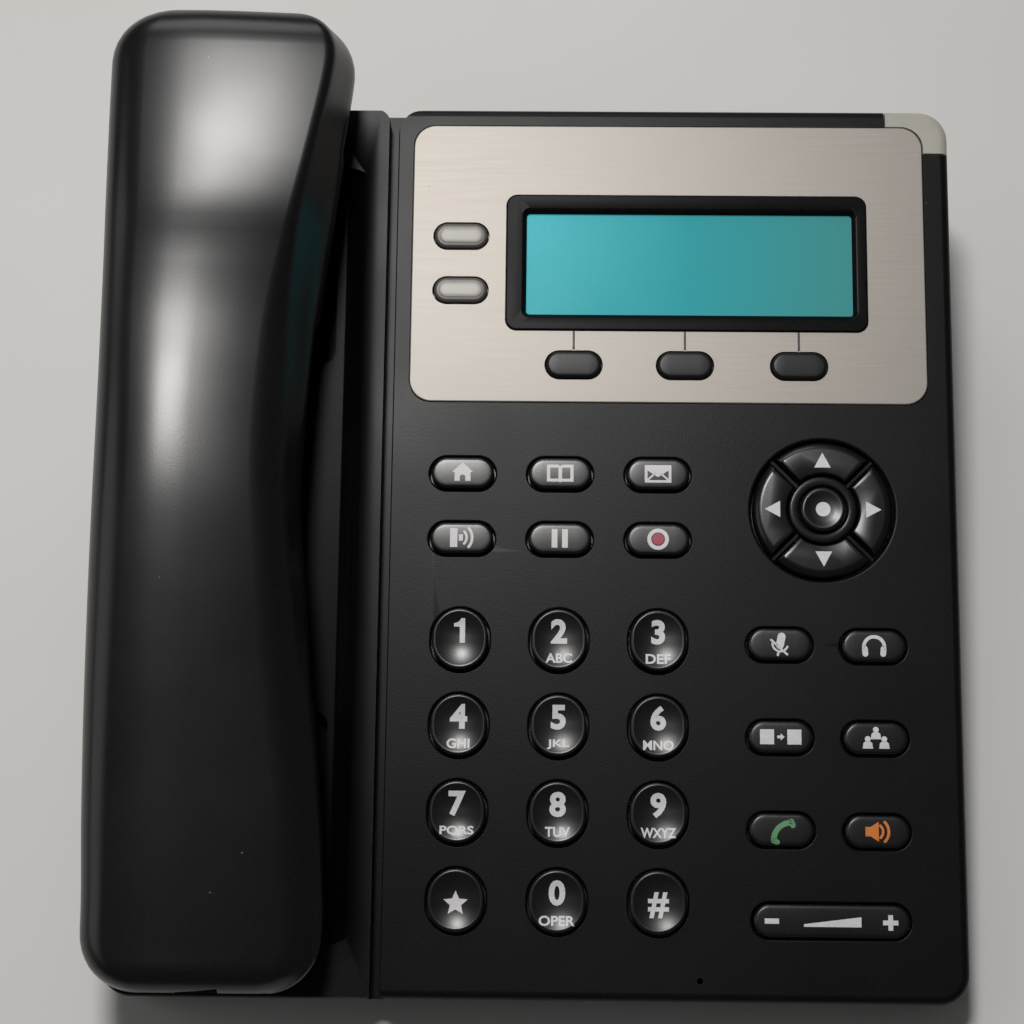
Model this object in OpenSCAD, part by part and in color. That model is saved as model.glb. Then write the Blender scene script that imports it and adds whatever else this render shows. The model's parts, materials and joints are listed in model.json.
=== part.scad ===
// Desk telephone for network calls: a wedge housing with a sloping face, a display and a keypad
// on the right, and a handset lying in a cradle on the left.
// Most shapes are drawn in the face frame: u to the right, v up the slope, w straight out of the
// face, all from the point of the face under the digit key 2. face() carries them to the table frame.

/* [Stance] */
// Slope of the face above the table, in degrees
tilt = 9.5; // [9:0.25:10]
// Height of the face's front edge above the table
front_h = 16.5; // [16:0.5:18]

/* [Housing] */
// Width of the keypad panel, from the seam to the right edge
panel_w = 123.5; // [122.5:0.5:126]
// Width of the cradle, from the left edge to the seam
cradle_w = 59; // [57:0.5:60]
// Length of the face along the slope
face_len = 197.4; // [195.5:0.1:198.5]
// Depth of the upper housing's skirt below the face
skirt_h = 14; // [14:0.25:15]
// Wall thickness of both housings
wall = 2; // [1.8:0.1:2.2]
// Plan radius of the housing's corners
corner_r = 6.5; // [5:0.5:8]
// Radius that rounds the top edge
edge_r = 2; // [1:0.25:2.5]
// Width of the groove between cradle and panel
seam_w = 2.1; // [1:0.1:2.4]

/* [Display] */
// Width of the silver fascia
fascia_w = 114.1; // [112:0.1:115]
// Height of the silver fascia
fascia_l = 64.3; // [63:0.1:65]
// Width of the display bezel
bezel_w = 80.1; // [79:0.1:81]
// Height of the display bezel
bezel_l = 31.4; // [31:0.1:32]
// Width of the visible display
window_w = 72.5; // [71:0.1:73]
// Height of the visible display
window_l = 23.5; // [22.5:0.1:25]

/* [Keys] */
// Spacing of the dial columns
col_pitch = 21.3; // [21:0.1:21.6]
// Spacing of the dial rows
row_pitch = 18.5; // [18.4:0.1:18.8]
// Width of a dial key
dial_w = 12; // [11.5:0.1:13.2]
// Length of a dial key
dial_l = 13.3; // [12.8:0.1:14.6]
// Length of a small pill key
pill_l = 13.7; // [13:0.1:15.2]
// Width of a small pill key
pill_w = 6.9; // [6.5:0.1:8]
// Gap between a key and the edge of its opening
key_gap = 0.35; // [0.35:0.05:0.5]
// Outer radius of the navigation recess
nav_r = 15.6; // [15.5:0.1:16.2]

/* [Handset] */
// Wall thickness of the handset shells
handset_wall = 2; // [1.8:0.1:2.2]
// Height above the face at which the two handset shells meet
handset_seam_w = 8; // [7.5:0.25:8.5]

/* [Hidden] */
$fn = 48;

// The face: its edges in the face frame
seam_u = -37;
right_u = seam_u + panel_w;
left_u = seam_u - cradle_w;
top_v = 121.4;
bottom_v = top_v - face_len;

// Height of the face frame's origin above the table
face_z = front_h - bottom_v * sin(tilt);

// The lower housing
foot_h = 1.5;
lower_inset = 1.5;
floor_top_z = foot_h + wall;

// The cradle: the trough between the lips, and the two cups that hold the handset's ends
lip_w = -1;
trough_w = -6;
trough_v = [-65, 107.5];
trough_wall_u = [-48.5, -42];
cup_w = -11.5;
ear_cup = [[-93.5, 63], [-50.5, 106]];
mouth_cup = [[-93.5, -62.6], [-50, -15]];
cup_r = 3;
handset_u = -73;

// Depths under the face of what the panel carries
fascia_w0 = -1;
fascia_top = 0.3;
flange_w = [-3.5, -2.5];
mat_w = [-6.2, -5.2];
dome_w = -3.55;
board_w = [-7.85, -6.25];

// The silver fascia and the display
fascia_min = [-33.5, 52.9];
bezel_min = [-12.4, 69.3];
window_min = [-7.9, 73.1];
fascia_r = 5;
bezel_r = 2.6;
bezel_top = fascia_top + 0.5;
bezel_slope = 1.1;
lamp_u = 72.5;
lamp_v = 111.2;
lamp_gap = 0.3;
lamp_depth = 6;

// Pill keys: name, u, v, length, width
function pill(name, u, v, l = pill_l, w = pill_w) = [name, [u, v], l, w];
function_keys = [
    pill("home_key", -col_pitch, 36.7), pill("phonebook_key", 0, 36.7), pill("message_key", col_pitch, 36.7),
    pill("intercom_key", -col_pitch, 22.2), pill("hold_key", 0, 22.2), pill("record_key", col_pitch, 22.2)
];
call_keys = [
    pill("mute_key", 47.4, -0.5), pill("headset_key", 67.5, -0.7),
    pill("transfer_key", 47.3, -20.4), pill("conference_key", 67.5, -20.5),
    pill("send_key", 47.3, -40), pill("speaker_key", 67.5, -40.2)
];
soft_keys = [
    pill("soft_key_1", 2.75, 61.4, 12.2, 6), pill("soft_key_2", 27.3, 61.4, 12.2, 6),
    pill("soft_key_3", 52.4, 61.4, 12.2, 6)
];
line_keys = [pill("line_key_1", -22.5, 91, 11.9, 5.8), pill("line_key_2", -22.5, 78.4, 11.9, 5.8)];
panel_pills = concat(function_keys, call_keys);
fascia_pills = concat(soft_keys, line_keys);
pill_proud = 1.3;
fascia_pill_proud = 1.2;
pill_bevel = 0.6;
recess_grow = 0.45;
edge_break = 0.3;

// Dial keys: name, column, row
dial_keys = [
    ["key_1", -1, 0], ["key_2", 0, 0], ["key_3", 1, 0],
    ["key_4", -1, 1], ["key_5", 0, 1], ["key_6", 1, 1],
    ["key_7", -1, 2], ["key_8", 0, 2], ["key_9", 1, 2],
    ["key_star", -1, 3], ["key_0", 0, 3], ["key_hash", 1, 3]
];
dial_proud = 1.9;
dial_dish = 0.6;
flange_grow = 1;

// Navigation keys, in the order of their quarter turns from the right
nav_at = [57.1, 29.2];
nav_names = ["nav_right", "nav_up", "nav_left", "nav_down"];
nav_inner_r = 7.7;
nav_key_r = 15.2;
nav_ring_r = [5.3, 7.4];
nav_rim_r = [16.3, 18.4];
nav_groove = 1.6;
nav_spoke = 1;
nav_chamfer = 0.7;
ok_r = 4.9;
nav_proud = 0.9;
ok_proud = 1.4;

// Volume rocker
volume_at = [57.6, -58.9];
volume_l = 32.8;
volume_w = 6.9;
volume_flange_l = 16;

// Screws: the keypad board's and the case's, in the face frame
board_screw_at = [[-31.4, -66], [34.5, -66], [34.5, 8], [-31.4, 8], [79, 8], [-31.4, 50], [34.5, 49]];
board_boss_r = 2.5;
case_screw_at = [[-42.5, -50], [76, -50], [-88, 112.5], [76, 112.5]];
case_boss_r = 3.2;
case_head_w = -skirt_h - 2;

// Main board, lying flat in the lower housing
main_board_min = [-34, 22];
main_board_size = [92, 68];
main_board_z = 7;
main_board_t = 1.6;

// Network jacks, power jack and side jacks, in the table frame
net_jack_x = [-14, 6];
net_jack_size = [16, 21, 13.5];
net_mouth = [11.8, 8.2];
net_mouth_z = 2.6;
power_x = 34;
power_size = [9, 14, 11];
power_bore_r = 3.2;
power_pin_r = 1;
side_jack_v = [42, 58];
side_jack_size = [12.5, 11, 10.5];
side_mouth = [7.8, 6.3];

// Underside
keyhole_x = 66;
keyhole_y = 62;
keyhole_r = 4;
keyhole_slot_w = 4;
keyhole_slot_l = 9;
stand_slot_x = 26;
stand_slot_y = -20;
stand_slot = [14, 5];
foot_at = [[-78, -82], [78, -82], [-78, 80], [78, 80]];
foot_r = 6;

// Handset sections from the mouth end to the ear end:
// v, left side, right side, right crest, underside, top
handset_rings = [
    [-73, -87, -58.5, -60, 8.5, 14],
    [-71.8, -91.6, -53.9, -55.8, 5.6, 17],
    [-69, -95.1, -50.2, -54.2, 3, 19.6],
    [-64, -97.5, -47.8, -53.6, 1.2, 21.2],
    [-60, -98, -47.2, -53.5, -11.2, 21.7],
    [-40, -98.8, -48.2, -54.6, -11.2, 22.8],
    [-18, -99.3, -50, -56.6, -11.2, 23.8],
    [-12, -99.4, -50.6, -57.2, 5.5, 24],
    [8, -99.6, -52.5, -58.6, 7, 25],
    [27, -99.6, -54.2, -59.8, 7, 25.8],
    [45, -99.6, -53.6, -59.9, 6.5, 26.7],
    [64.5, -99.7, -51.9, -58.9, 4, 27.6],
    [70, -99.7, -51.4, -58, -11.2, 27.9],
    [90, -99.7, -48.7, -54.8, -11.2, 28.3],
    [103.5, -99.7, -47.3, -51.8, -11.2, 28.4],
    [107, -99.7, -46.9, -51, 2, 28.4],
    [125.5, -98.8, -45, -48.8, 3, 27.6],
    [131.5, -96.2, -47.6, -50.6, 5.5, 26.6],
    [134.5, -92.4, -51.6, -53.8, 9, 24],
    [135.7, -88.6, -56, -57.6, 12.5, 20.8]
];
handset_mid_w = 11;
handset_tip = handset_rings[len(handset_rings) - 1];

// Where the face frame's origin stands in the table frame, so that the whole box is centred
handset_left = min([for (ring = handset_rings) ring[1]]);
face_x = -(handset_left + right_u) / 2;
face_y = -((handset_tip[0] + bottom_v) * cos(tilt) + (edge_r - handset_tip[4]) * sin(tilt)) / 2;

// Where the network jacks meet the sloping inside of the back wall
jack_top_z = main_board_z + main_board_t + net_jack_size.z;
wall_v = top_v - lower_inset - wall;
back_y = face_y + wall_v * cos(tilt) - (jack_top_z - face_z - wall_v * sin(tilt)) * tan(tilt) - 0.1;

handset_jack_v = [-71, -58];
handset_jack_w = [9, 19];
handset_mouth_w = [10.4, 16.7];
receiver_at = [handset_u, 87];
receiver_r = 12.7;
mic_at = [handset_u, -42];
mic_r = 4.9;

// Hook plunger, in the floor of the ear cup
hook_at = [handset_u, 72];
hook_size = [8, 4];
hook_top_w = -11.35;
hook_bottom_w = -21;

// Loudspeaker under the cradle floor
speaker_at = [handset_u, 24];
speaker_r = 20;

function names(list) = [for (k = list) k[0]];

// ---- helpers ----

module face() {
    translate([face_x, face_y, face_z]) rotate([tilt, 0, 0]) children();
}

// Rectangle from its two corners, with round corners
module round_rect(a, b, r) {
    translate([a.x + r, a.y]) square([b.x - a.x - 2 * r, b.y - a.y]);
    translate([a.x, a.y + r]) square([b.x - a.x, b.y - a.y - 2 * r]);
    for (x = [a.x + r, b.x - r], y = [a.y + r, b.y - r]) translate([x, y]) circle(r);
}

// Slab of a plan between two depths
module slab(w0, w1) {
    translate([0, 0, w0]) linear_extrude(w1 - w0) children();
}

// Slab with round corners that tapers from a to b at w0 to grow more on every side at w1
module tapered_rect(a, b, r, grow, w0, w1) {
    for (x = [a.x + r, b.x - r], y = [a.y + r, b.y - r]) translate([x, y, w0])
        cylinder(r1 = r, r2 = r + grow, h = w1 - w0);
    along_slope(a.y + r, b.y - r) polygon([[a.x, w0], [b.x, w0], [b.x + grow, w1], [a.x - grow, w1]]);
    translate([a.x + r, 0, 0]) rotate([90, 0, 90]) linear_extrude(b.x - a.x - 2 * r)
        polygon([[a.y, w0], [b.y, w0], [b.y + grow, w1], [a.y - grow, w1]]);
}

// Prism along the slope of a section drawn in u and w
module along_slope(v0, v1) {
    translate([0, v1, 0]) rotate([90, 0, 0]) linear_extrude(v1 - v0) children();
}

module stadium(l, d) {
    long = max(l, d) - min(l, d);
    turn = l >= d ? 0 : 90;
    rotate(turn) {
        square([long, min(l, d)], center = true);
        for (s = [-1, 1]) translate([s * long / 2, 0]) circle(min(l, d) / 2);
    }
}

// Stadium that tapers from one size at w0 to a smaller or larger one at w1
module tapered_stadium(l, d, grow, w0, w1) {
    long = l - d;
    for (s = [-1, 1]) translate([s * long / 2, 0, w0])
        cylinder(r1 = d / 2, r2 = d / 2 + grow, h = w1 - w0);
    rotate([90, 0, 90]) linear_extrude(long, center = true) polygon([
        [-d / 2, w0], [d / 2, w0], [d / 2 + grow, w1], [-d / 2 - grow, w1]
    ]);
}

module drill(at, r, w0, w1) {
    translate([at.x, at.y, w0]) cylinder(r = r, h = w1 - w0);
}

function key_at(k) = [k[1] * col_pitch, -k[2] * row_pitch];

// Opening for a key through the skin, its upper edge broken by a chamfer
module key_opening(at, l, d, chamfer) {
    translate([at.x, at.y, 0]) {
        slab(-3, 2) stadium(l + 2 * key_gap, d + 2 * key_gap);
        rotate(l >= d ? 0 : 90)
            tapered_stadium(max(l, d) + 2 * key_gap, min(l, d) + 2 * key_gap, chamfer, -chamfer, 0.01);
    }
}

// ---- housings ----

// Outer block of the upper housing, its top edge rounded
module upper_block() {
    hull() for (u = [left_u + corner_r, right_u - corner_r], v = [bottom_v + corner_r, top_v - corner_r]) {
        drill([u, v], corner_r, -skirt_h, -edge_r);
        for (a = [18:18:90]) translate([u, v, -edge_r])
            cylinder(r = corner_r - edge_r + edge_r * cos(a), h = edge_r * sin(a), $fn = 32);
    }
}

module lamp_plan(grow) {
    difference() {
        translate([lamp_u - grow, lamp_v - grow]) square(30);
        round_rect(
            fascia_min - [1, 1] * (lamp_gap - grow - 0.05),
            fascia_min + [fascia_w, fascia_l] + [1, 1] * (lamp_gap - grow - 0.05), fascia_r
        );
    }
}

// Gap where the seam groove opens at an end of the housing, between the round corners of its two sides
module seam_notch(v, way, r) {
    slab(-6, 2) for (side = [[seam_u - 0.01, seam_u + r[0], r[0]],
                             [seam_u - seam_w - r[1], seam_u - seam_w - r[1], r[1]]])
        difference() {
            translate([side[0], way > 0 ? v - side[2] : v - 1]) square([side[2] + 0.02, side[2] + 1]);
            translate([side[1], v - way * side[2]]) circle(r = side[2], $fn = 48);
        }
}

module trough() {
    intersection() {
        along_slope(trough_v[0], trough_v[1]) polygon([
            [left_u - 1, trough_w], [trough_wall_u[0], trough_w], [trough_wall_u[1], 1], [left_u - 1, 1]
        ]);
        slab(trough_w - 1, 2) round_rect([left_u - 20, trough_v[0]], [trough_wall_u[1] + 2, trough_v[1]], 9);
    }
}

module cup(box, grow, w0, w1) {
    slab(w0, w1) round_rect(box[0] - [grow, grow], box[1] + [grow, grow], cup_r + grow);
}

module upper_housing() {
    inner_a = [left_u + wall, bottom_v + wall];
    inner_b = [right_u - wall, top_v - wall];
    color("#24242a") face() difference() {
        union() {
            difference() {
                upper_block();
                // hollow under the panel, and the shallower one under the cradle
                slab(-skirt_h - 1, -wall) round_rect([seam_u + wall, inner_a.y], inner_b, corner_r - wall);
                slab(-skirt_h - 1, trough_w - wall) round_rect(inner_a, [seam_u - seam_w, inner_b.y], corner_r - wall);
            }
            cup(ear_cup, wall, cup_w - wall, trough_w - 0.5);
            cup(mouth_cup, wall, cup_w - wall, trough_w - 0.5);
            for (at = board_screw_at) drill(at, board_boss_r, board_w[1], -wall / 2);
            for (at = case_screw_at) drill(at, case_boss_r, -skirt_h, -wall / 2);
        }
        // seam groove, trough and cups of the cradle
        along_slope(bottom_v - 1, top_v + 1) polygon([
            [seam_u - seam_w, -6], [seam_u, -6], [seam_u, -edge_break], [seam_u + edge_break + 1, 1],
            [seam_u - seam_w - edge_break - 1, 1], [seam_u - seam_w, lip_w - edge_break]
        ]);
        seam_notch(top_v, 1, [6.5, 3.2]);
        seam_notch(bottom_v, -1, [1.4, 1.2]);
        slab(-5.5, 2) round_rect([-92, 117.8], [-50, 131], 3.2);
        translate([left_u - 1, bottom_v - 1, lip_w]) cube([cradle_w - seam_w + 1.01, face_len + 2, 2]);
        trough();
        cup(ear_cup, 0, cup_w, 1);
        cup(mouth_cup, 0, cup_w, 1);
        slab(cup_w - 3, cup_w + 1) translate(hook_at) square(hook_size + [0.8, 0.8], center = true);
        for (i = [-4:4]) slab(trough_w - 3, trough_w + 1)
            translate(speaker_at + [0, i * 4]) stadium(26 - abs(i) * 3, 1.6);
        // seat of the fascia, display opening and key openings
        slab(fascia_w0, 2) round_rect(fascia_min - [0.15, 0.15], fascia_min + [fascia_w + 0.15, fascia_l + 0.15], fascia_r);
        slab(-3, 2) round_rect(bezel_min + [1, 1], bezel_min + [bezel_w - 1, bezel_l - 1], 1.2);
        intersection() {
            slab(-lamp_depth, 5) lamp_plan(lamp_gap);
            translate([lamp_u - 1, lamp_v - 1, -lamp_depth]) cube([40, 40, 20]);
        }
        for (k = dial_keys) key_opening(key_at(k), dial_w, dial_l, recess_grow);
        for (k = panel_pills) key_opening(k[1], k[2], k[3], recess_grow);
        key_opening(volume_at, volume_l, volume_w, recess_grow);
        for (k = fascia_pills) slab(-3, 2) translate(k[1]) stadium(k[2] + 2 * key_gap, k[3] + 2 * key_gap);
        drill(nav_at, nav_r, -3, 2);
        translate([nav_at.x, nav_at.y, -nav_chamfer]) cylinder(r1 = nav_r, r2 = nav_r + nav_chamfer, h = nav_chamfer + 0.01);
        // microphone hole, tab slot and pilot holes
        drill([30, -71.5], 0.7, -3, 1);
        translate([handset_u - 6.3, 109.2, -5]) cube([12.6, 4.6, 6]);
        translate([handset_u - 3.3, 107, -2.9]) cube([6.6, 3, 4]);
        for (at = board_screw_at) drill(at, 1.1, board_w[1] - 1, -2.2);
        for (at = case_screw_at) drill(at, 1.3, -skirt_h - 1, -4);
    }
}

// Plan of the lower housing, grown or shrunk
module lower_plan(grow) {
    edge = lower_inset - grow;
    round_rect([left_u + edge, bottom_v + edge], [right_u - edge, top_v - edge], corner_r - lower_inset + grow);
}

module above(z) {
    translate([-150, -150, z]) cube([300, 300, 100]);
}

module keyhole(x) {
    translate([x, keyhole_y, 0]) {
        cylinder(r = keyhole_r, h = 10);
        translate([-keyhole_slot_w / 2, 0, 0]) cube([keyhole_slot_w, keyhole_slot_l, 10]);
        translate([0, keyhole_slot_l, 0]) cylinder(r = keyhole_slot_w / 2, h = 10);
    }
}

module lower_housing() {
    color("#1d1d22") difference() {
        union() {
            difference() {
                intersection() {
                    face() slab(-60, -skirt_h) lower_plan(0);
                    above(foot_h);
                }
                intersection() {
                    face() slab(-70, -skirt_h + 1) lower_plan(-wall);
                    above(floor_top_z);
                }
            }
            // screw columns, standoffs of the main board
            intersection() {
                face() for (at = case_screw_at) drill(at, 4.6, -60, -skirt_h);
                above(foot_h);
            }
            for (x = [4, 88], y = [4, 64]) translate([main_board_min.x + x, main_board_min.y + y, floor_top_z - 1])
                cylinder(r = 3, h = main_board_z - floor_top_z + 1);
        }
        face() for (at = case_screw_at) {
            drill(at, 1.7, -60, 0);
            drill(at, 3.4, -70, case_head_w);
        }
        // openings for the jacks at the back and on the left side
        for (x = net_jack_x) translate([x - 6.5, back_y - 10, main_board_z + main_board_t + 1.9])
            cube([13, 30, 9.6]);
        translate([power_x, back_y - 10, main_board_z + main_board_t + 5.5]) rotate([-90, 0, 0])
            cylinder(r = power_bore_r + 1.1, h = 30);
        for (v = side_jack_v) face() translate([left_u - 5, v - 4.6, -skirt_h - 9.4]) cube([12, 9.2, 7.6]);
        for (s = [-1, 1]) {
            keyhole(s * keyhole_x);
            translate([s * stand_slot_x - stand_slot.x / 2, stand_slot_y, 0]) cube([stand_slot.x, stand_slot.y, 10]);
        }
        // shallow seats that keep the rubber feet in place
        for (at = foot_at) translate([at.x, at.y, 0]) cylinder(r = foot_r + 0.1, h = foot_h + 0.8);
    }
}

module rubber_feet() {
    color("#3a3a3c") for (at = foot_at) translate([at.x, at.y, 0]) {
        cylinder(r1 = foot_r - 0.6, r2 = foot_r, h = 0.6);
        translate([0, 0, 0.6]) cylinder(r = foot_r, h = foot_h + 0.2);
    }
}

module cradle_tab() {
    color("#2a2a30") face() {
        translate([handset_u - 6, 109.5, -4.8]) cube([12, 4, 3.8]);
        translate([handset_u - 3, 108.6, -2.6]) cube([6, 1, 1.6]);
    }
}

module screws() {
    color("silver") face() {
        for (at = board_screw_at) {
            drill(at, 1.1, board_w[1] - 0.1, -2.6);
            drill(at, 2.4, board_w[0] - 1.4, board_w[0]);
            drill(at, 1.1, board_w[0], board_w[1]);
        }
        for (at = case_screw_at) {
            drill(at, 1.3, case_head_w, -6);
            drill(at, 3, case_head_w - 1.6, case_head_w);
        }
    }
}

// ---- display ----

module display_fascia() {
    fascia_max = fascia_min + [fascia_w, fascia_l];
    color("#b0aaa2") face() difference() {
        union() {
            slab(fascia_w0, fascia_top - edge_break) round_rect(fascia_min, fascia_max, fascia_r);
            tapered_rect(fascia_min, fascia_max, fascia_r, -edge_break, fascia_top - edge_break, fascia_top);
        }
        slab(-3, 2) round_rect(bezel_min - [0.15, 0.15], bezel_min + [bezel_w + 0.15, bezel_l + 0.15], bezel_r);
        for (k = fascia_pills) slab(-3, 2) translate(k[1]) stadium(k[2] + 2 * key_gap, k[3] + 2 * key_gap);
        // engraved leader lines from the display to the soft keys
        for (k = soft_keys) translate([k[1].x - 0.25, k[1].y, fascia_top - 0.3])
            cube([0.5, bezel_min.y - k[1].y, 2]);
    }
}

module lcd_bezel() {
    bezel_max = bezel_min + [bezel_w, bezel_l];
    window_max = window_min + [window_w, window_l];
    color("#111114") face() difference() {
        union() {
            slab(fascia_w0, bezel_top - edge_break) round_rect(bezel_min, bezel_max, bezel_r);
            tapered_rect(bezel_min, bezel_max, bezel_r, -edge_break, bezel_top - edge_break, bezel_top);
            slab(-2.4, fascia_w0) round_rect(bezel_min + [1.3, 1.3], bezel_max - [1.3, 1.3], 1);
        }
        slab(-3, 2) round_rect(window_min, window_max, 0.8);
        tapered_rect(window_min, window_max, 0.8, bezel_slope, bezel_top - bezel_slope, bezel_top + 0.01);
        slab(-3, -0.9) round_rect(window_min - [1.6, 1.2], window_max + [1.6, 1.2], 0.8);
    }
}

module lcd_window() {
    color("#4aa5a5") face() slab(-2.1, -0.95)
        round_rect(window_min - [1.5, 1.1], window_min + [window_w + 1.5, window_l + 1.1], 0.8);
}

module lcd_module() {
    color("#2f7f74") face() {
        slab(-4.4, -2.45) translate(window_min - [1.5, 1.5]) square([window_w + 3, window_l + 3]);
        slab(-5.9, -4.4) translate(window_min - [3, 3]) square([window_w + 6, window_l + 6]);
    }
}

module message_lamp() {
    color("#8d9b90") face() intersection() {
        upper_block();
        slab(-lamp_depth + 0.1, 5) lamp_plan(0);
    }
}

// ---- keys ----

module flange(l, d) {
    slab(flange_w[0], flange_w[1]) stadium(l + 2 * flange_grow, d + 2 * flange_grow);
}

module pill_key(k, proud) {
    color("#17171a") face() translate([k[1].x, k[1].y, 0]) {
        slab(flange_w[1], proud - pill_bevel) stadium(k[2], k[3]);
        tapered_stadium(k[2], k[3], -pill_bevel, proud - pill_bevel, proud);
        flange(k[2], k[3]);
    }
}

// Dial key with a shallow round dish in its top
module dial_key(k) {
    dish_r = (dial_w * dial_w / 4 + dial_dish * dial_dish) / (2 * dial_dish);
    color("#17171a") face() translate([key_at(k).x, key_at(k).y, 0]) {
        difference() {
            slab(flange_w[1], dial_proud) stadium(dial_w, dial_l);
            translate([0, 0, dial_proud + dish_r - dial_dish]) sphere(dish_r);
        }
        flange(dial_w, dial_l);
    }
}

// Quarter of the navigation ring, clear of the diagonal spokes
module nav_key(i) {
    color("#17171a") face() translate([nav_at.x, nav_at.y, 0]) rotate(i * 90) {
        nav_quarter(nav_inner_r, nav_key_r, nav_groove, flange_w[1], nav_proud);
        nav_quarter(nav_inner_r - 0.6, nav_key_r + 0.7, 0.6, flange_w[0], flange_w[1] - 0.1);
        nav_quarter(nav_inner_r, nav_key_r, nav_groove + 0.4, flange_w[0], flange_w[1]);
    }
}

module nav_quarter(r0, r1, groove, w0, w1) {
    difference() {
        translate([0, 0, w0]) rotate([0, 0, -45]) rotate_extrude(angle = 90) translate([r0, 0]) square([r1 - r0, w1 - w0]);
        for (a = [-45, 45]) rotate(a) translate([0, -groove / 2, w0 - 1]) cube([r1 + 2, groove, w1 - w0 + 2]);
    }
}

// Two crossed bars through the middle of the navigation ring
module nav_spokes(r, w) {
    for (a = [45, 135]) rotate(a) square([2 * r, w], center = true);
}

module nav_bezel() {
    rim_w = -wall - 0.02;
    color("#17171a") face() translate([nav_at.x, nav_at.y, 0]) {
        slab(flange_w[1], rim_w) difference() {
            union() {
                difference() {
                    circle(nav_rim_r[1]);
                    circle(nav_rim_r[0]);
                }
                nav_spokes(nav_rim_r[1] - 0.5, nav_spoke);
                circle(nav_ring_r[1]);
            }
            circle(nav_ring_r[0]);
        }
        slab(rim_w - 0.1, -1) difference() {
            union() {
                nav_spokes(nav_key_r - 0.2, nav_spoke - 0.2);
                circle(nav_ring_r[1] - 0.05);
            }
            circle(nav_ring_r[0] + 0.05);
        }
        slab(-1.1, 0.6) difference() {
            circle(nav_ring_r[1]);
            circle(nav_ring_r[0]);
        }
    }
}

module ok_key() {
    color("#17171a") face() {
        drill(nav_at, ok_r, flange_w[1] - 0.1, ok_proud - pill_bevel);
        translate([nav_at.x, nav_at.y, ok_proud - pill_bevel]) cylinder(r1 = ok_r, r2 = ok_r - pill_bevel, h = pill_bevel);
        drill(nav_at, ok_r + flange_grow, flange_w[0], flange_w[1] - 0.1);
    }
}

module volume_rocker() {
    color("#17171a") face() translate([volume_at.x, volume_at.y, 0]) {
        slab(flange_w[1], pill_proud - pill_bevel) stadium(volume_l, volume_w);
        tapered_stadium(volume_l, volume_w, -pill_bevel, pill_proud - pill_bevel, pill_proud);
        flange(volume_flange_l, volume_w);
    }
}

// ---- boards and inner parts ----

module board_cutouts(r) {
    for (at = case_screw_at) translate(at) circle(case_boss_r + 1);
    for (at = board_screw_at) translate(at) circle(r);
}

module keypad_mat() {
    color("#8a8a90") face() {
        slab(mat_w[0], mat_w[1]) difference() {
            union() {
                translate([-34.6, -69]) square([114.6, 135]);
                translate([-34.6, 60]) square([20.6, 40]);
            }
            board_cutouts(board_boss_r + 0.4);
        }
        for (k = dial_keys) mat_dome(key_at(k), 4);
        for (k = concat(panel_pills, fascia_pills)) mat_dome(k[1], 2.6);
        for (a = [0:90:270]) mat_dome(nav_at + 12 * [cos(a), sin(a)], 2.6);
        mat_dome(nav_at, 2.6);
    }
}

module mat_dome(at, r) {
    translate([at.x, at.y, mat_w[1] - 0.1]) cylinder(r1 = r, r2 = r - 0.7, h = dome_w - mat_w[1] + 0.1);
}

module keypad_board() {
    color("#1f6b3a") face() slab(board_w[0], board_w[1]) difference() {
        translate([-34.6, -70.9]) square([116.1, 185.9]);
        board_cutouts(1.4);
    }
}

module main_board() {
    color("#1f6b3a") {
        translate([main_board_min.x, main_board_min.y, main_board_z])
            cube([main_board_size.x, main_board_size.y - 0.5, main_board_t]);
        // processor and its shield, next to a few large parts
        translate([0, 36, main_board_z + main_board_t]) cube([22, 22, 2.2]);
        translate([32, 40, main_board_z + main_board_t]) cube([12, 16, 1.6]);
    }
}

module network_jacks() {
    z = main_board_z + main_board_t;
    color("#6f7276") for (x = net_jack_x) difference() {
        translate([x - net_jack_size.x / 2, back_y - net_jack_size.y, z]) cube(net_jack_size);
        translate([x - net_mouth.x / 2, back_y - 18, z + net_mouth_z]) cube([net_mouth.x, 30, net_mouth.y]);
    }
}

module power_jack() {
    z = main_board_z + main_board_t;
    color("#101012") {
        difference() {
            translate([power_x - power_size.x / 2, back_y - power_size.y, z]) cube(power_size);
            translate([power_x, back_y - 12, z + 5.5]) rotate([-90, 0, 0]) cylinder(r = power_bore_r, h = 30);
        }
        translate([power_x, back_y - 13, z + 5.5]) rotate([-90, 0, 0]) cylinder(r = power_pin_r, h = 11);
    }
}

module side_jacks() {
    color("#101012") face() for (v = side_jack_v) difference() {
        translate([left_u + lower_inset + wall + 0.1, v - side_jack_size.y / 2, -skirt_h - 11]) cube(side_jack_size);
        translate([left_u - 1, v - side_mouth.x / 2, -skirt_h - 8.6]) cube([13.5, side_mouth.x, side_mouth.y]);
    }
}

module loudspeaker() {
    top = trough_w - wall - 0.1;
    color("#303034") face() {
        drill(speaker_at, speaker_r, top - 3, top);
        drill(speaker_at, 11, top - 10, top - 3);
    }
}

module hook_plunger() {
    color("#2a2a30") face() {
        slab(hook_bottom_w, hook_top_w) translate(hook_at) square(hook_size, center = true);
        slab(hook_bottom_w, hook_bottom_w + 1.2) translate(hook_at) square(hook_size + [3, 3], center = true);
    }
}

module hook_microswitch() {
    color("#303034") face() {
        translate([hook_at.x - 6, hook_at.y - 3, -27.5]) cube([12, 6, 6]);
    }
}

// ---- handset ----

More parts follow.
